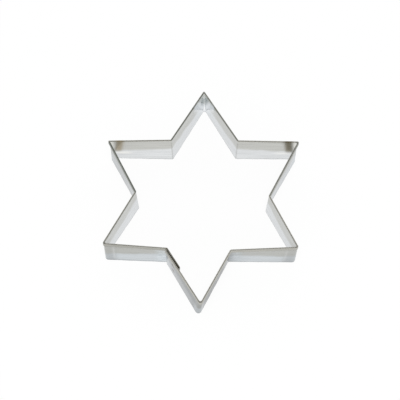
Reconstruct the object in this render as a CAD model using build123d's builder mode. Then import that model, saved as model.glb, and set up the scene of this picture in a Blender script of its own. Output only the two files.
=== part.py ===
from build123d import *
import os
from itertools import pairwise

# A star-shaped pastry cutter, lying as it cuts: its sharp edge is down on z = 0 and its folded
# rim is up. It is one long strip of tinplate, bent at twelve corners. The two ends of the strip
# lap inside the lower left corner, where two spot welds hold them together. All lengths are in
# millimetres.

# The star, from its centre to the corner lines of a point
star_radius = 50.0
strip_height = 22.0

# The strip, and the hem that is folded over its top edge to the outside of the star
sheet_thickness = 0.3
hem_height = 2.8
hem_slit = 0.15
rim_round_share = 0.47

# The bends at the six points, measured on the inner face of the strip, at the rim and at the
# cutting edge. They open out towards the cutting edge, because the hem holds them tight at the
# rim. The upper three were pressed tighter than the lower three.
point_radii = (
    (0.7, 1.2),  # bottom point
    (0.6, 1.2),  # lower right point
    (0.35, 0.8),  # upper right point
    (0.15, 0.9),  # top point
    (0.15, 0.6),  # upper left point
    (0.6, 1.0),  # lower left point
)

# The notches are measured on the outer face of the hem, which is their tight side
hem_notch_radius = 0.25

# The lap, where the free end lies inside the wall that the strip started with
lap_length = 10.7
lap_clearance = 0.17
end_clearance = 0.4

# The spot welds, and the shallow dents that the electrodes pressed round them
weld_names = ("upper_spot_weld", "lower_spot_weld")
weld_height_shares = (0.62, 0.3)
weld_radius = 1.1
weld_setback = 7.0
dent_radius = 1.6
dent_depth = 0.08
cut_overrun = 1.0

# The corners of the strip's inner face, as shares of star_radius, in the order in which the strip
# was bent. The first two numbers place a corner on the rim. The last two say how far the cutting
# edge leans away from it, because the star was bent by hand and no wall is quite upright.
corner_shares = (
    (0.010, -0.993, -0.014, -0.008),  # bottom point
    (0.264, -0.501, -0.011, 0.019),  # lower right notch
    (0.856, -0.461, 0.013, -0.011),  # lower right point
    (0.600, 0.009, -0.007, 0.003),  # right notch
    (0.858, 0.529, 0.014, 0.002),  # upper right point
    (0.314, 0.526, -0.005, -0.004),  # upper right notch
    (-0.002, 0.995, 0.008, 0.016),  # top point
    (-0.288, 0.517, 0.010, -0.014),  # upper left notch
    (-0.846, 0.494, -0.011, 0.007),  # upper left point
    (-0.590, 0.021, 0.012, -0.006),  # left notch
    (-0.858, -0.469, -0.021, -0.020),  # lower left point
    (-0.319, -0.497, 0.007, -0.001),  # lower left notch, where the lap starts
)

# Sizes that follow from those above
hem_foot = strip_height - hem_height
hem_thickness = 2 * sheet_thickness + hem_slit
notch_radius = hem_notch_radius + hem_thickness
rim_lap_offset = hem_thickness + lap_clearance
edge_lap_offset = sheet_thickness + lap_clearance
dome_radius = (dent_radius**2 + dent_depth**2) / (2 * dent_depth)

rim_corners = [Vector(x, y) * star_radius for x, y, _, _ in corner_shares]
edge_corners = [Vector(x + lean_x, y + lean_y) * star_radius for x, y, lean_x, lean_y in corner_shares]


def strip_run(corners, lap_offset):
    """Bend points of the strip's inner face, from its first end to its free end in the lap."""
    lap_corner = corners[-1]
    down_the_lap = (corners[0] - lap_corner).normalized()
    inward = down_the_lap.rotate(Axis.Z, 90)
    last_wall = (lap_corner - corners[-2]).normalized()
    slant = last_wall.dot(inward)
    first_end = lap_corner + down_the_lap * (hem_thickness / slant + end_clearance)
    folded_corner = lap_corner + last_wall * (lap_offset / slant)
    free_end = folded_corner + down_the_lap * lap_length
    return [first_end, *corners[:-1], folded_corner, free_end]


def pushed_out(run, distance):
    """The same run, moved towards the outside of the star by a distance square to each wall."""
    normals = [(end - start).normalized().rotate(Axis.Z, -90) for start, end in pairwise(run)]
    befores = [normals[0], *normals]
    afters = [*normals, normals[-1]]
    return [
        bend + (before + after) * (distance / (1 + before.dot(after)))
        for bend, before, after in zip(run, befores, afters)
    ]


def ribbon_lines(run, inner_radii, near, far):
    """Closed outline of a ribbon along the run, from near to far outside the inner face."""
    near_run = pushed_out(run, near)
    far_run = pushed_out(run, far)
    for line, distance in ((near_run, near), (far_run, far)):
        radii = []
        for inner_radius in inner_radii:
            # At a point, the press squeezes the hem's second layer as tight as the first
            radii += [inner_radius + min(distance, sheet_thickness), notch_radius - distance]
        FilletPolyline(*line, radius=radii)
    Line(near_run[0], far_run[0])
    Line(near_run[-1], far_run[-1])


def weld_foot(corners, offset):
    """Point in line with the welds on one face of the lap, and the lap's direction there."""
    along = (corners[0] - corners[-1]).normalized()
    outward = along.rotate(Axis.Z, -90)
    return corners[-1] + along * weld_setback + outward * offset, along


def lap_plane(height, edge_offset, rim_offset):
    """Plane on one face of the lap at a weld, facing outward and leaning as that face does."""
    rise = height / hem_foot
    edge_foot, edge_along = weld_foot(edge_corners, edge_offset)
    rim_foot, rim_along = weld_foot(rim_corners, rim_offset)
    up_the_wall = rim_foot - edge_foot + Vector(0, 0, hem_foot)
    along = edge_along * (1 - rise) + rim_along * rise
    return Plane(origin=edge_foot + up_the_wall * rise, x_dir=along, z_dir=along.cross(up_the_wall))


edge_run = strip_run(edge_corners, edge_lap_offset)
rim_run = strip_run(rim_corners, rim_lap_offset)
rim_radii, edge_radii = zip(*point_radii)

# Each weld joins the outer face of the lap, outside the star, to its inner face
weld_heights = [share * strip_height for share in weld_height_shares]
outer_planes = [lap_plane(height, sheet_thickness, sheet_thickness) for height in weld_heights]
inner_planes = [lap_plane(height, -edge_lap_offset, -rim_lap_offset) for height in weld_heights]
dent_planes = outer_planes + [-plane for plane in inner_planes]

# The shape that an electrode's domed tip leaves in the sheet, with its axis out of the face
with BuildPart() as electrode_tip:
    with Locations((0, 0, dome_radius - dent_depth)):
        Sphere(dome_radius)
    split(bisect_by=Plane.XY.offset(dent_depth), keep=Keep.BOTTOM)

# The strip: a single sheet from the cutting edge up to the hem, where it lies double
with BuildPart() as star_strip:
    with BuildSketch(Plane.XY):
        with BuildLine():
            ribbon_lines(edge_run, edge_radii, 0, sheet_thickness)
        make_face()
    with BuildSketch(Plane.XY.offset(hem_foot)):
        with BuildLine():
            ribbon_lines(rim_run, rim_radii, 0, sheet_thickness)
        make_face()
    loft(ruled=True)

    # The hem is the sheet turned over once, with a round back and a narrow slit inside the fold
    with BuildSketch(Plane.XY.offset(hem_foot)):
        with BuildLine():
            ribbon_lines(rim_run, rim_radii, 0, hem_thickness)
        make_face()
    extrude(amount=hem_height)
    rim_edges = star_strip.faces().sort_by(Axis.Z)[-1].edges()
    cut_ends = rim_edges.filter_by(GeomType.LINE).sort_by(SortBy.LENGTH)[:2]
    fillet([edge for edge in rim_edges if edge not in cut_ends], radius=rim_round_share * hem_thickness)
    with BuildSketch(Plane.XY.offset(hem_foot)):
        with BuildLine():
            ribbon_lines(rim_run, rim_radii, sheet_thickness, sheet_thickness + hem_slit)
        make_face()
    extrude(amount=hem_height - sheet_thickness, mode=Mode.SUBTRACT)

    # Room for the welds, through both layers of the lap
    with BuildSketch(*outer_planes):
        Circle(weld_radius)
    extrude(amount=rim_lap_offset + cut_overrun, both=True, mode=Mode.SUBTRACT)
    with Locations(*dent_planes):
        add(electrode_tip.part, mode=Mode.SUBTRACT)

# The welds: each is a plug of melted sheet and tin that runs through both layers
welds = []
for name, outer_plane, inner_plane in zip(weld_names, outer_planes, inner_planes):
    with BuildPart() as weld:
        with BuildSketch(outer_plane):
            Circle(weld_radius)
        extrude(amount=-(rim_lap_offset + cut_overrun))
        split(bisect_by=inner_plane)
        with Locations(*dent_planes):
            add(electrode_tip.part, mode=Mode.SUBTRACT)
    weld.part.label = name
    welds.append(weld.part)

star_strip.part.label = "star_strip"

os.makedirs("parts", exist_ok=True)
for piece in [star_strip.part, *welds]:
    export_step(piece, f"parts/{piece.label}.step")
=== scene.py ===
from math import radians

import bmesh
import bpy
import numpy as np
from mathutils import Matrix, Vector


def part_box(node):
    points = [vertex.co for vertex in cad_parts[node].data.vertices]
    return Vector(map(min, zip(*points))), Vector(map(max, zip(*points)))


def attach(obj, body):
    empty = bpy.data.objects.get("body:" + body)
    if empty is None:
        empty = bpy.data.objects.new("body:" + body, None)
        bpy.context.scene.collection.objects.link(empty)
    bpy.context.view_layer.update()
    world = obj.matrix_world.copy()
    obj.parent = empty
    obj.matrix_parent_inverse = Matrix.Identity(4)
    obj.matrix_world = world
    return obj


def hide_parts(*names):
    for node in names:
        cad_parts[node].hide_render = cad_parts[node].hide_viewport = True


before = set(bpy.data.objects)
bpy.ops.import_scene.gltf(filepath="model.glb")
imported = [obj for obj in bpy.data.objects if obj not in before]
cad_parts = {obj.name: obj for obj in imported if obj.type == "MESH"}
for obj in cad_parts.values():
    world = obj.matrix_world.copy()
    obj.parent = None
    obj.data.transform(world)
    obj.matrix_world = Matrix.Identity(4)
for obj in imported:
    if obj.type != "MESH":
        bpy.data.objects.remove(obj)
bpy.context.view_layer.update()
scene = bpy.context.scene

# The strip: one length of bright tinplate, 0.3 mm thick, rolled at the mill. Its top edge is
# turned over to the outside and pressed down as a hem, then the strip is bent by hand at twelve
# corners until its free end lies inside the wall that it started with.
sheet_low, sheet_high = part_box("star_strip")
strip_height = sheet_high.z - sheet_low.z
star_radius = 0.050
sheet_thickness = 0.0003
hem_height = 0.0028
hem_slit = 0.00015
hem_notch_radius = 0.00025
lap_length = 0.0107
lap_clearance = 0.00017
end_clearance = 0.0004

# Each corner: where its bend stands on the rim, and how far it leans out at the cutting edge
corner_shares = (
    (0.010, -0.993, -0.014, -0.008),  # bottom point
    (0.264, -0.501, -0.011, 0.019),  # lower right notch
    (0.856, -0.461, 0.013, -0.011),  # lower right point
    (0.600, 0.009, -0.007, 0.003),  # right notch
    (0.858, 0.529, 0.014, 0.002),  # upper right point
    (0.314, 0.526, -0.005, -0.004),  # upper right notch
    (-0.002, 0.995, 0.008, 0.016),  # top point
    (-0.288, 0.517, 0.010, -0.014),  # upper left notch
    (-0.846, 0.494, -0.011, 0.007),  # upper left point
    (-0.590, 0.021, 0.012, -0.006),  # left notch
    (-0.858, -0.469, -0.021, -0.020),  # lower left point
    (-0.319, -0.497, 0.007, -0.001),  # lower left notch, where the lap starts
)

# Each point's bend radius inside the star, at the rim and at the cutting edge
point_radii = (
    (0.0007, 0.0012),  # bottom point
    (0.0006, 0.0012),  # lower right point
    (0.00035, 0.0008),  # upper right point
    (0.00015, 0.0009),  # top point
    (0.00015, 0.0006),  # upper left point
    (0.0006, 0.0010),  # lower left point
)
hem_foot = strip_height - hem_height
hem_thickness = 2 * sheet_thickness + hem_slit
notch_radius = hem_notch_radius + hem_thickness
rim_lap_offset = hem_thickness + lap_clearance
edge_lap_offset = sheet_thickness + lap_clearance
shares = np.array(corner_shares)
rim_corners = shares[:, :2] * star_radius
edge_corners = (shares[:, :2] + shares[:, 2:]) * star_radius


def unit(vector):
    return vector / np.linalg.norm(vector)


def outward(heading):
    """The direction out of the star, square to a wall that the strip follows anticlockwise."""
    return np.array((heading[1], -heading[0]))


def strip_run(corners, lap_offset):
    """Bend points of the strip's inner face, from its first end to its free end in the lap."""
    down_the_lap = unit(corners[0] - corners[-1])
    last_wall = unit(corners[-1] - corners[-2])
    slant = last_wall @ -outward(down_the_lap)
    first_end = corners[-1] + down_the_lap * (hem_thickness / slant + end_clearance)
    folded_corner = corners[-1] + last_wall * (lap_offset / slant)
    free_end = folded_corner + down_the_lap * lap_length
    return np.array([first_end, *corners[:-1], folded_corner, free_end])


rim_run = strip_run(rim_corners, rim_lap_offset)
edge_run = strip_run(edge_corners, edge_lap_offset)
wall_lengths = np.linalg.norm(np.diff(rim_run, axis=0), axis=1)
bend_places = np.concatenate(([0], np.cumsum(wall_lengths)))
wall_count = len(wall_lengths)

# Stations along the strip: close together at the bends and along the lap, wider on the walls.
# Each is a wall, a place on it or on the bend that ends it, and whether it is on that bend.
bend_steps = 8
wall_steps = 34
even_share = 0.35
lap_step = 0.0003
stations = []
for wall, length in enumerate(wall_lengths):
    steps = np.linspace(0, 1, wall_steps)
    places = even_share * steps + (1 - even_share) * (1 - np.cos(np.pi * steps)) / 2
    if wall == 0:
        near_welds = np.arange(0, lap_length, lap_step) / length
        places = np.concatenate((near_welds, places[places > near_welds[-1] + lap_step / length]))
    if wall == wall_count - 1:
        places = np.linspace(0, 1, int(length / lap_step))
    stations += [(wall, place, False) for place in places]
    if wall < wall_count - 1:
        stations += [(wall, step / bend_steps, True) for step in range(1, bend_steps)]
station_walls = np.array([wall for wall, _, _ in stations])
station_places = np.array([
    bend_places[wall + 1] if bent else bend_places[wall] + place * wall_lengths[wall]
    for wall, place, bent in stations
])


def strip_line(height, out):
    """The line along the strip at a height, at a distance outside its inner face."""
    rise = min(height / hem_foot, 1)
    run = edge_run * (1 - rise) + rim_run * rise
    headings = [unit(end - start) for start, end in zip(run[:-1], run[1:])]
    outs = [outward(heading) for heading in headings]
    corners = [
        point + (before + after) * out / (1 + before @ after)
        for point, before, after in zip(run, [outs[0], *outs], [*outs, outs[-1]])
    ]
    setbacks = [0.0]
    centres = [None]
    turns = [0.0]
    for bend in range(1, wall_count):
        at_point = bend % 2 == 1
        rim_radius, edge_radius = point_radii[bend // 2] if at_point else (notch_radius, notch_radius)
        radius = edge_radius * (1 - rise) + rim_radius * rise
        radius += min(out, sheet_thickness) if at_point else -out
        turn = np.arctan2(outs[bend - 1] @ -headings[bend], headings[bend - 1] @ headings[bend])
        setbacks.append(radius * np.tan(abs(turn) / 2))
        start = corners[bend] - headings[bend - 1] * setbacks[bend]
        centres.append(start - np.sign(turn) * outs[bend - 1] * radius)
        turns.append(turn)
    setbacks.append(0.0)
    line = []
    for wall, place, bent in stations:
        start = corners[wall] + headings[wall] * setbacks[wall]
        end = corners[wall + 1] - headings[wall] * setbacks[wall + 1]
        if bent:
            angle = turns[wall + 1] * place
            arm = end - centres[wall + 1]
            across = np.array((-arm[1], arm[0]))
            line.append(centres[wall + 1] + arm * np.cos(angle) + across * np.sin(angle))
        else:
            line.append(start * (1 - place) + end * place)
    return np.array(line)


# The strip's section, as pairs of places on its two skins, each a distance out and a height.
# The inner skin runs up inside the star, over the fold and down the back of the hem. The outer
# skin runs up the outside of the wall and turns back inside the hem's slit.
inner_skin, outer_skin = 0, 1
fold_radius = hem_thickness / 2
fold_height = strip_height - fold_radius
wall_rows = 54
fold_steps = 10
hem_rows = 6
wall_heights = np.linspace(0, fold_height, wall_rows)
section = [((0, height), (sheet_thickness, height)) for height in wall_heights]
for angle in np.linspace(0, np.pi, fold_steps + 1)[1:]:
    section.append([
        (fold_radius - radius * np.cos(angle), fold_height + radius * np.sin(angle))
        for radius in (fold_radius, hem_slit / 2)
    ])
for height in np.linspace(fold_height, hem_foot, hem_rows + 1)[1:]:
    section.append(((hem_thickness, height), (hem_thickness - sheet_thickness, height)))
row_heights = np.array([inner_place[1] for inner_place, _ in section])
row_count = len(section)
station_count = len(stations)
skins = np.zeros((2, row_count, station_count, 3))
for row, pair in enumerate(section):
    for skin, (out, height) in enumerate(pair):
        skins[skin, row, :, :2] = strip_line(height, out)
        skins[skin, row, :, 2] = height

# Hand bending leaves the long walls a little wavy. The waves die out at the bends, at the hem,
# which stiffens the sheet, and at the lap, which the welds hold flat. They come in two sizes,
# each with a length along the strip and one up the wall.
wave_height = 0.00006
wave_fade = 0.004
hem_fade = 0.006
wave_sizes = ((0.0085, 0.013), (0.0136, 0.021))
to_bend = np.abs(station_places[:, None] - bend_places[None, :]).min(axis=1)
wave = np.zeros((row_count, station_count))
for phase, (length, band) in enumerate(wave_sizes):
    along = np.sin(2 * np.pi * station_places / length + phase)
    upward = np.cos(2 * np.pi * row_heights / band + 2 * phase)
    wave += upward[:, None] * along[None, :] * wave_height / len(wave_sizes)
wave *= np.clip((hem_foot - row_heights) / hem_fade, 0, 1)[:, None]
wave *= np.clip(to_bend / wave_fade, 0, 1)[None, :]
for wall in range(1, wall_count - 1):
    on_wall = station_walls == wall
    out = outward(unit(rim_run[wall + 1] - rim_run[wall]))
    skins[:, :, on_wall, :2] += wave[None, :, on_wall, None] * out

# The bends that carry marks of their own, counted from the strip's first end
bottom_point, lower_right_notch, lower_right_point, right_notch = 1, 2, 3, 4
upper_right_point, top_point, upper_left_point, lower_left_point, lap_notch = 5, 7, 9, 11, 12

# Under the hem, which holds them tight, the two lower side points have sprung out sideways, each
# by a distance to the right. The left one comes back in towards the cutting edge.
spring_reach = 0.0030
spring_rise = 0.0020
right_spring, right_share_at_edge = 0.00065, 1
left_spring, left_share_at_edge = -0.00055, 0
below_hem = np.clip((hem_foot - row_heights) / spring_rise, 0, 1)
freed = below_hem**2 * (3 - 2 * below_hem)
for bend, spring, share_at_edge in (
    (lower_right_point, right_spring, right_share_at_edge),
    (lower_left_point, left_spring, left_share_at_edge),
):
    near = np.exp(-(((station_places - bend_places[bend]) / spring_reach) ** 2))
    taper = share_at_edge + (1 - share_at_edge) * row_heights / hem_foot
    skins[..., 0] += spring * (freed * taper)[None, :, None] * near

# The electrodes pressed a shallow dish round each weld, into the wall outside and the lap inside,
# and heated the tin round it. The sheet lies just under the weld's own face.
weld_names = ("upper_spot_weld", "lower_spot_weld")
weld_radius = 0.0011
weld_seat = 0.00002
dent_radius = 0.0016
dent_depth = 0.00008
heat_radius = 0.0024
lap_heading = np.append(unit(rim_corners[0] - rim_corners[-1]), 0)
lap_rise = np.append(rim_corners[-1] - edge_corners[-1], hem_foot)
lap_out = unit(np.cross(lap_heading, lap_rise))
rows_under_hem = np.flatnonzero(row_heights[:wall_rows] < hem_foot)
heat_tint = np.zeros((2, row_count, station_count))
for weld_name in weld_names:
    low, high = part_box(weld_name)
    middle = np.array((low + high) / 2)
    for skin, wall, inward in ((outer_skin, 0, -1), (inner_skin, wall_count - 1, 1)):
        area = np.ix_([skin], rows_under_hem, np.flatnonzero(station_walls == wall))
        away = skins[area] - middle
        away -= (away @ lap_out)[..., None] * lap_out
        distance = np.linalg.norm(away, axis=-1)
        depth = dent_depth * np.clip(1 - (distance / dent_radius) ** 2, 0, 1)
        depth += weld_seat * (distance < weld_radius)
        skins[area] += depth[..., None] * lap_out * inward
        heat_tint[area] += np.exp(-((distance / heat_radius) ** 4))

# The two skins are joined along the cutting edge, along the edge inside the hem and at both ends
shell = bmesh.new()
inner, outer = [
    [[shell.verts.new(skins[skin, row, k]) for k in range(station_count)] for row in range(row_count)]
    for skin in (inner_skin, outer_skin)
]
for row in range(row_count - 1):
    for k in range(station_count - 1):
        shell.faces.new((inner[row][k], inner[row + 1][k], inner[row + 1][k + 1], inner[row][k + 1]))
        shell.faces.new((outer[row][k], outer[row][k + 1], outer[row + 1][k + 1], outer[row + 1][k]))
    for k, turned in ((0, True), (station_count - 1, False)):
        end = [inner[row][k], inner[row + 1][k], outer[row + 1][k], outer[row][k]]
        shell.faces.new(end[::-1] if turned else end)
for k in range(station_count - 1):
    shell.faces.new((inner[0][k], inner[0][k + 1], outer[0][k + 1], outer[0][k]))
    shell.faces.new((inner[-1][k], outer[-1][k], outer[-1][k + 1], inner[-1][k + 1]))
sharp_angle = radians(40)
for face in shell.faces:
    face.smooth = True
for edge in shell.edges:
    edge.smooth = edge.calc_face_angle() < sharp_angle
strip_mesh = bpy.data.meshes.new("tin_strip")
shell.to_mesh(strip_mesh)
shell.free()
strip = bpy.data.objects.new("tin_strip", strip_mesh)
scene.collection.objects.link(strip)

# Marks on the tin, most of them painted light and shade, are laid out along the strip, which is how it was
# rolled.
# Every point of the mesh carries its place along the strip, its height, and what marks lie there.
# The hem has its own colour, which starts at half strength on the row where the fold begins.
shape = (2, row_count, station_count)
row_shares = row_heights / strip_height
from_point = np.abs(station_places[:, None] - bend_places[None, 1:-1:2]).min(axis=1)
outside = np.zeros(shape)
outside[outer_skin] = 1
hem_start = 0.5
hem = np.zeros(shape)
hem[inner_skin, wall_rows - 1] = hem_start
hem[inner_skin, wall_rows:] = 1

# A spread that makes a mark cover the whole height of the wall
whole_wall = 2.0


def oval_mark(skin, bend, *, along=0.0, up=0.5, reach, spread, lean=0.0, strength=1.0):
    """A soft oval mark: its distance along the strip from a bend, its height, its half sizes along
    and up, and how it leans. Heights are shares of the strip's. The back of the hem stays clear
    of it.
    """
    marked = np.zeros(shape)
    above = row_shares[:, None] - up
    across = (station_places[None, :] - bend_places[bend] - along - above * lean) / reach
    marked[skin] = np.exp(-(across**4) - (above / spread) ** 6)
    marked[:, -hem_rows:] = 0
    return marked * strength


# Painted shade: dark brownish patches inside the two upper side points, for the shaded floor
# deep in the points that the walls mirror
dark_painted_shade = oval_mark(
    inner_skin, upper_right_point, along=0.0031, up=0.78, reach=0.0020, spread=0.36, lean=0.0026
)
brown_painted_shade = oval_mark(
    inner_skin, upper_left_point, along=-0.0036, up=0.78, reach=0.0019, spread=0.34, lean=-0.0030
)

# Painted highlights inside the three upper points and below the two upper side points
painted_point_highlight = oval_mark(inner_skin, upper_right_point, up=0.78, reach=0.0024, spread=0.30)
painted_point_highlight += oval_mark(inner_skin, upper_left_point, up=0.78, reach=0.0024, spread=0.30)
painted_point_highlight += oval_mark(inner_skin, top_point, up=0.80, reach=0.0050, spread=0.30, strength=0.7)
painted_point_highlight += oval_mark(
    inner_skin, upper_left_point, along=-0.0052, up=0.36, reach=0.0040, spread=0.07, strength=0.8
)
painted_point_highlight += oval_mark(
    inner_skin, upper_right_point, along=0.0052, up=0.36, reach=0.0040, spread=0.07, strength=0.5
)
painted_point_highlight[:, wall_rows:] = 0

# Painted reflection: a bright band inside the top point, which climbs on both sides of the bend
band_foot = 0.20
band_climb = 0.65
band_run = 0.0070
band_width = 0.18
band_reach = 0.0085
from_top = np.abs(station_places[None, :] - bend_places[top_point])
band_height = band_foot + band_climb * from_top / band_run
band = np.exp(-(((row_shares[:, None] - band_height) / band_width) ** 2))
top_painted_reflection = np.zeros(shape)
top_painted_reflection[inner_skin] = band * (from_top < band_reach)

# Painted mottled reflections inside the top point and outside beside the lower notches, and a
# blue-grey painted reflection by the top point's bend
mottled_reflection = oval_mark(inner_skin, top_point, reach=0.0080, spread=0.45, strength=0.6)
mottled_reflection += oval_mark(outer_skin, lower_right_notch, along=0.0024, reach=0.0026, spread=0.5)
mottled_reflection += oval_mark(outer_skin, lap_notch, along=-0.0024, reach=0.0026, spread=0.5)
blue_painted_reflection = oval_mark(inner_skin, top_point, along=0.0010, up=0.62, reach=0.0014, spread=0.13)

# Painted shade: a dark line down the middle of each notch, under the hem. Walls of odd number
# end in a notch.
notch_shade_width = 0.6
in_notch_shade = [
    bent and wall % 2 == 1 and abs(place - 0.5) < notch_shade_width / 2 for wall, place, bent in stations
]
notch_painted_shade = np.zeros(shape)
notch_painted_shade[:, row_heights <= hem_foot] = in_notch_shade

# Each wall's hem is darker to its own degree, told in the order of the walls
rim_darkness = (0, 0, 0.08, 0, 0.54, 0.08, 0.6, 0.74, 0.24, 0.95, 0.31, 0.23, 0)
rim_darkening = np.zeros(shape)
for wall, degree in enumerate(rim_darkness):
    rim_darkening[inner_skin, wall_rows:, station_walls == wall] = degree

# Painted shade on the outside, round the bottom point, beside the upper left point and the right
# notch, and at the lower side points. The bend of the bottom point itself is left lighter.
painted_outer_shade = oval_mark(outer_skin, bottom_point, reach=0.027, spread=whole_wall)
painted_outer_shade += oval_mark(outer_skin, bottom_point, along=0.014, reach=0.013, spread=whole_wall, strength=0.6)
painted_outer_shade += oval_mark(outer_skin, upper_left_point, along=0.013, reach=0.012, spread=whole_wall, strength=0.75)
painted_outer_shade += oval_mark(outer_skin, right_notch, along=0.013, reach=0.012, spread=whole_wall, strength=0.35)
for bend, side in ((lower_right_point, -1), (lower_left_point, 1)):
    painted_outer_shade += oval_mark(
        outer_skin, bend, along=side * 0.0020, up=0.4, reach=0.0026, spread=whole_wall, strength=0.2
    )
    painted_outer_shade += oval_mark(
        outer_skin, bend, along=side * 0.0014, up=0.15, reach=0.0028, spread=0.30, strength=0.3
    )
painted_outer_shade *= 1 - oval_mark(outer_skin, bottom_point, up=0.3, reach=0.0022, spread=0.6, strength=0.8)

# Painted shade on the walls beside the bottom point: their reflection is tinted darker, so that
# they mirror less at a glancing angle
glancing_shade = oval_mark(outer_skin, bottom_point, along=0.014, reach=0.014, spread=whole_wall)
glancing_shade += oval_mark(outer_skin, bottom_point, along=-0.014, up=0.80, reach=0.013, spread=0.38, strength=0.30)

# A thin painted highlight line beside each lower side point
painted_highlight_line = oval_mark(outer_skin, lower_left_point, along=0.0031, up=0.45, reach=0.0005, spread=0.36)
painted_highlight_line += oval_mark(
    outer_skin, lower_right_point, along=-0.0036, up=0.45, reach=0.0005, spread=0.36, strength=0.7
)

# Painted shade: the hem along the lap is dark, darkest at its free end, for the shade in the gap
# between the two layers
lap_shade_places = (-0.02, 0, 0.3, 0.7, 1)
lap_shade_degrees = (0, 0.6, 0.45, 0.8, 0.95)
into_lap = (station_places - bend_places[lap_notch]) / lap_length
lap_painted_shade = np.zeros(shape)
lap_painted_shade[:, row_heights > hem_foot] = np.interp(into_lap, lap_shade_places, lap_shade_degrees)

strip_marks = {
    "along": np.broadcast_to(station_places, shape),
    "height": np.broadcast_to(row_shares[None, :, None], shape),
    "from_point": np.broadcast_to(from_point, shape),
    "outside": outside,
    "hem": hem,
    "dark_painted_shade": dark_painted_shade,
    "brown_painted_shade": brown_painted_shade,
    "mottled_reflection": mottled_reflection,
    "blue_painted_reflection": blue_painted_reflection,
    "painted_point_highlight": painted_point_highlight,
    "top_painted_reflection": top_painted_reflection,
    "notch_painted_shade": notch_painted_shade,
    "rim_darkening": rim_darkening,
    "painted_outer_shade": painted_outer_shade,
    "glancing_shade": glancing_shade,
    "painted_highlight_line": painted_highlight_line,
    "lap_painted_shade": lap_painted_shade,
    "heat_tint": heat_tint,
}
for name, values in strip_marks.items():
    strip_mesh.attributes.new(name, "FLOAT", "POINT").data.foreach_set("value", values.ravel())

# The finish: rolled steel under a coat of tin, softly mirror-like, with streaks and fine roll
# marks along the strip. The marks, most of them painted light and shade, lie over it.
tin = bpy.data.materials.new("bright_tinplate")
tin.use_nodes = True


def put(material, kind, inputs=None, **settings):
    """A shader node whose inputs hold values or take what other nodes give out."""
    node = material.node_tree.nodes.new("ShaderNode" + kind)
    for name, value in settings.items():
        setattr(node, name, value)
    for name, value in (inputs or {}).items():
        if isinstance(value, bpy.types.NodeSocket):
            material.node_tree.links.new(value, node.inputs[name])
        else:
            node.inputs[name].default_value = value
    return node


def mark(name):
    """How much of a mark lies at each place on the tin."""
    return put(tin, "Attribute", attribute_name=name).outputs["Fac"]


def work(operation, first, second=0.0, third=0.0):
    return put(tin, "Math", {0: first, 1: second, 2: third}, operation=operation).outputs[0]


def ramp(value, low, high, start=0.0, end=1.0):
    """A smooth change from start to end, as the value goes from low to high."""
    limits = {"From Min": low, "From Max": high, "To Min": start, "To Max": end}
    return put(tin, "MapRange", {"Value": value, **limits}, interpolation_type="SMOOTHSTEP").outputs[0]


def tint(share, first, second):
    """Colour that goes from the first to the second with the share."""
    first, second = [
        (*colour, 1) if isinstance(colour, tuple) else colour for colour in (first, second)
    ]
    return put(tin, "Mix", {0: share, 6: first, 7: second}, data_type="RGBA").outputs[2]


def grain(length, width, detail, seed):
    """Noise laid along the strip, in marks of about this length and width, not alike on its sides."""
    side_shift = 3.7
    along = work("DIVIDE", mark("along"), length)
    upward = work("MULTIPLY", mark("height"), strip_height / width)
    skin = work("MULTIPLY_ADD", mark("outside"), side_shift, seed)
    place = put(tin, "CombineXYZ", {0: along, 1: upward, 2: skin}).outputs[0]
    return put(tin, "TexNoise", {"Vector": place, "Scale": 1.0, "Detail": detail}).outputs[0]


# Painted reflection: each wall is painted brighter in its lower part, for the lit floor near its
# foot that it mirrors, and greyer above. The border between them sinks towards the points.
inner_dim_reflection = (0.560, 0.560, 0.525)
inner_bright_reflection = (0.756, 0.769, 0.775)
outer_dim_reflection = (0.470, 0.472, 0.440)
outer_bright_reflection = (0.615, 0.650, 0.672)
border_at_point = 0.44
border_rise = 0.17
point_to_notch = 0.028
border_drop_outside = 0.06
border_wander = 0.03
border_softness = 0.075
streaks = grain(length=0.020, width=0.0011, detail=3.0, seed=0.0)
clouds = grain(length=0.0022, width=0.0016, detail=2.0, seed=5.0)
wander = grain(length=0.0080, width=0.0300, detail=1.0, seed=9.0)
border = work("MULTIPLY_ADD", mark("from_point"), border_rise / point_to_notch, border_at_point)
border = work("MULTIPLY_ADD", mark("outside"), -border_drop_outside, border)
border = work("ADD", border, ramp(wander, low=0.3, high=0.7, start=-border_wander, end=border_wander))
under_border = work("SUBTRACT", border, mark("height"))
bright_reflection_share = ramp(under_border, low=-border_softness, high=border_softness)
inner_tin = tint(bright_reflection_share, inner_dim_reflection, inner_bright_reflection)
outer_tin = tint(bright_reflection_share, outer_dim_reflection, outer_bright_reflection)
colour = tint(mark("outside"), inner_tin, outer_tin)

# The marks, from the lowest to the one on top: how strong each is, and its colour. Most of them are
# painted light and shade.
mottled_reflection_dark = (0.50, 0.57, 0.60)
mottled_reflection_light = (0.84, 0.90, 0.94)
mark_looks = (
    ("hem", 1.0, (0.54, 0.53, 0.48)),
    ("painted_point_highlight", 1.0, (0.95, 0.94, 0.90)),
    ("mottled_reflection", 0.45, tint(ramp(clouds, low=0.40, high=0.58), mottled_reflection_dark, mottled_reflection_light)),
    ("top_painted_reflection", 1.0, (0.96, 0.98, 1.0)),
    ("blue_painted_reflection", 0.6, (0.40, 0.46, 0.47)),
    ("notch_painted_shade", 0.35, (0.30, 0.30, 0.28)),
    ("rim_darkening", 1.0, (0.255, 0.270, 0.240)),
    ("painted_outer_shade", 0.85, (0.25, 0.26, 0.26)),
    ("painted_highlight_line", 0.32, (0.80, 0.80, 0.79)),
    ("dark_painted_shade", 0.92, (0.155, 0.125, 0.062)),
    ("brown_painted_shade", 0.85, (0.31, 0.245, 0.140)),
    ("heat_tint", 0.6, (0.25, 0.25, 0.26)),
    ("lap_painted_shade", 0.95, (0.105, 0.092, 0.052)),
)
for name, strength, mark_colour in mark_looks:
    colour = tint(work("MULTIPLY", mark(name), strength), colour, mark_colour)

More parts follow.
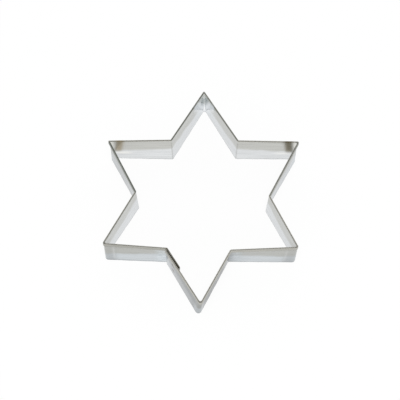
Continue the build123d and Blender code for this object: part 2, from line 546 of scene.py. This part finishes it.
# Roll streaks make the tin a little darker and lighter, and painted shade darkens the foot of
# each wall along the cutting edge, more on the outside
streak_dark, streak_light = 0.93, 1.07
foot_shade_inside, more_shade_outside = 0.09, 0.13
shade_full, shade_gone = 0.03, 0.09
shade = ramp(streaks, low=0.30, high=0.70, start=streak_dark, end=streak_light)
foot_painted_shade = work("MULTIPLY_ADD", mark("outside"), more_shade_outside, foot_shade_inside)
foot_painted_shade = work("MULTIPLY", foot_painted_shade, ramp(mark("height"), shade_full, shade_gone, start=1.0, end=0.0))
shade = work("MULTIPLY", shade, work("SUBTRACT", 1.0, foot_painted_shade))
tin_colour = put(tin, "VectorMath", {0: colour, 3: shade}, operation="SCALE").outputs[0]

# Clouds, the hem and the dark painted shade in the upper right point are less glossy than
# clean tin
clean_roughness, cloudy_roughness = 0.10, 0.17
hem_roughness = 0.30
dark_shade_roughness = 0.1
plain_glance = (0.84, 0.85, 0.86)
shaded_glance = (0.47, 0.48, 0.49)
roughness = ramp(clouds, low=0.3, high=0.7, start=clean_roughness, end=cloudy_roughness)
roughness = work("MULTIPLY_ADD", mark("hem"), hem_roughness, roughness)
roughness = work("MULTIPLY_ADD", mark("dark_painted_shade"), dark_shade_roughness, roughness)
roll_marks = grain(length=0.006, width=0.00012, detail=2.0, seed=2.0)
bump = put(tin, "Bump", {"Strength": 0.25, "Distance": 0.00002, "Height": roll_marks}).outputs[0]
shader = tin.node_tree.nodes["Principled BSDF"]
shader.inputs["Metallic"].default_value = 1.0
glancing_tint = tint(mark("glancing_shade"), plain_glance, shaded_glance)
tin.node_tree.links.new(glancing_tint, shader.inputs["Specular Tint"])
tin.node_tree.links.new(tin_colour, shader.inputs["Base Color"])
tin.node_tree.links.new(roughness, shader.inputs["Roughness"])
tin.node_tree.links.new(bump, shader.inputs["Normal"])
strip_mesh.materials.append(tin)
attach(strip, "root")
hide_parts("star_strip")

# The spot welds: the electrodes squeezed both layers of the lap and melted the tin and a little
# of the steel between them. They stay dull and a little heat-tinted.
weld_dark = (0.20, 0.19, 0.17, 1)
weld_light = (0.42, 0.41, 0.38, 1)
weld_smoothest, weld_roughest = 0.32, 0.5
weld_metal = bpy.data.materials.new("weld_metal")
weld_metal.use_nodes = True
weld_place = put(weld_metal, "TexCoord").outputs["Object"]
mottle = put(weld_metal, "TexNoise", {"Vector": weld_place, "Scale": 2600.0, "Detail": 3.0}).outputs[0]
weld_tint = put(weld_metal, "ValToRGB", {0: mottle})
weld_tint.color_ramp.elements[0].color = weld_dark
weld_tint.color_ramp.elements[1].color = weld_light
roughness_range = {"To Min": weld_smoothest, "To Max": weld_roughest}
weld_roughness = put(weld_metal, "MapRange", {"Value": mottle, **roughness_range}).outputs[0]
shader = weld_metal.node_tree.nodes["Principled BSDF"]
shader.inputs["Metallic"].default_value = 1.0
weld_metal.node_tree.links.new(weld_tint.outputs[0], shader.inputs["Base Color"])
weld_metal.node_tree.links.new(weld_roughness, shader.inputs["Roughness"])
for weld_name in weld_names:
    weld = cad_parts[weld_name]
    weld.data.materials.clear()
    weld.data.materials.append(weld_metal)

# The table: a sheet of white card that the cutter stands on. The camera and the tin both see it
# nearly white, and it keeps a faint share of the cutter's shadow.
card_reach = 2.0
paper_colour = (0.88, 0.88, 0.88, 1)
paper_roughness = 0.9
white_when_seen = 0.93
card_mesh = bpy.data.meshes.new("white_card")
card_corners = [(x * card_reach, y * card_reach, 0) for x, y in ((-1, -1), (1, -1), (1, 1), (-1, 1))]
card_mesh.from_pydata(card_corners, [], [(0, 1, 2, 3)])
card = bpy.data.objects.new("white_card", card_mesh)
scene.collection.objects.link(card)
paper = bpy.data.materials.new("white_paper")
paper.use_nodes = True
sheen = paper.node_tree.nodes["Principled BSDF"]
sheen.inputs["Base Color"].default_value = paper_colour
sheen.inputs["Roughness"].default_value = paper_roughness
light_path = put(paper, "LightPath").outputs
seen_directly, seen_mirrored = light_path["Is Camera Ray"], light_path["Is Glossy Ray"]
seen = put(paper, "Math", {0: seen_directly, 1: seen_mirrored}, operation="MAXIMUM").outputs[0]
white_share = put(paper, "Math", {0: seen, 1: white_when_seen}, operation="MULTIPLY").outputs[0]
white = put(paper, "Emission").outputs[0]
mix = put(paper, "MixShader", {0: white_share, 1: sheen.outputs[0], 2: white}).outputs[0]
paper.node_tree.links.new(mix, paper.node_tree.nodes["Material Output"].inputs["Surface"])
card_mesh.materials.append(paper)

# The room: plain white walls, bright low down and dim overhead. In front of the cutter and behind
# it, the bright part reaches higher. The camera sees the room as white.
bright_below, dim_above = 0.05, 0.80
low_light, overhead_light = 1.0, 0.04
front_and_back_rise = 0.9
room = bpy.data.worlds.new("room")
scene.world = room
room.use_nodes = True
compass = put(room, "TexCoord").outputs["Generated"]
direction = put(room, "SeparateXYZ", {0: compass}).outputs
aside = put(room, "Math", {0: direction["Y"]}, operation="ABSOLUTE").outputs[0]
upward = put(
    room, "Math", {0: aside, 1: -front_and_back_rise, 2: direction["Z"]}, operation="MULTIPLY_ADD"
).outputs[0]
room_heights = {"From Min": bright_below, "From Max": dim_above}
room_lights = {"To Min": low_light, "To Max": overhead_light}
fade = put(room, "MapRange", {"Value": upward, **room_heights, **room_lights}).outputs[0]
seen_directly = put(room, "LightPath").outputs["Is Camera Ray"]
level = put(room, "Math", {0: fade, 1: seen_directly}, operation="MAXIMUM").outputs[0]
air = room.node_tree.nodes["Background"]
air.inputs["Color"].default_value = (1, 1, 1, 1)
room.node_tree.links.new(level, air.inputs["Strength"])

# The lamp: a softbox that hangs high on the camera's side and points at the cutter. The tin
# doesn't mirror it.
lamp_data = bpy.data.lights.new("softbox", "AREA")
lamp_data.shape = "SQUARE"
lamp_data.size = 0.35
lamp_data.energy = 9
lamp = bpy.data.objects.new("softbox", lamp_data)
scene.collection.objects.link(lamp)
lamp.location = (0.0, -0.22, 1.2)
lamp.visible_glossy = False
lamp.rotation_euler = (-lamp.location).to_track_quat("-Z", "Y").to_euler()

# The camera: it looks down at the cutter from the front, at about 71 degrees, through a long
# lens, and is rolled by a little over a degree.
camera_place = (-0.00079, -0.20527, 0.6175)
camera_tilt = radians(18.824)
camera_roll = radians(1.3715)
camera_data = bpy.data.cameras.new("camera")
camera_data.lens = 126
camera_data.sensor_width = 36
camera = bpy.data.objects.new("camera", camera_data)
scene.collection.objects.link(camera)
camera.matrix_world = (
    Matrix.Translation(camera_place)
    @ Matrix.Rotation(camera_tilt, 4, "X")
    @ Matrix.Rotation(camera_roll, 4, "Z")
)
scene.camera = camera

scene.view_settings.view_transform = "Standard"
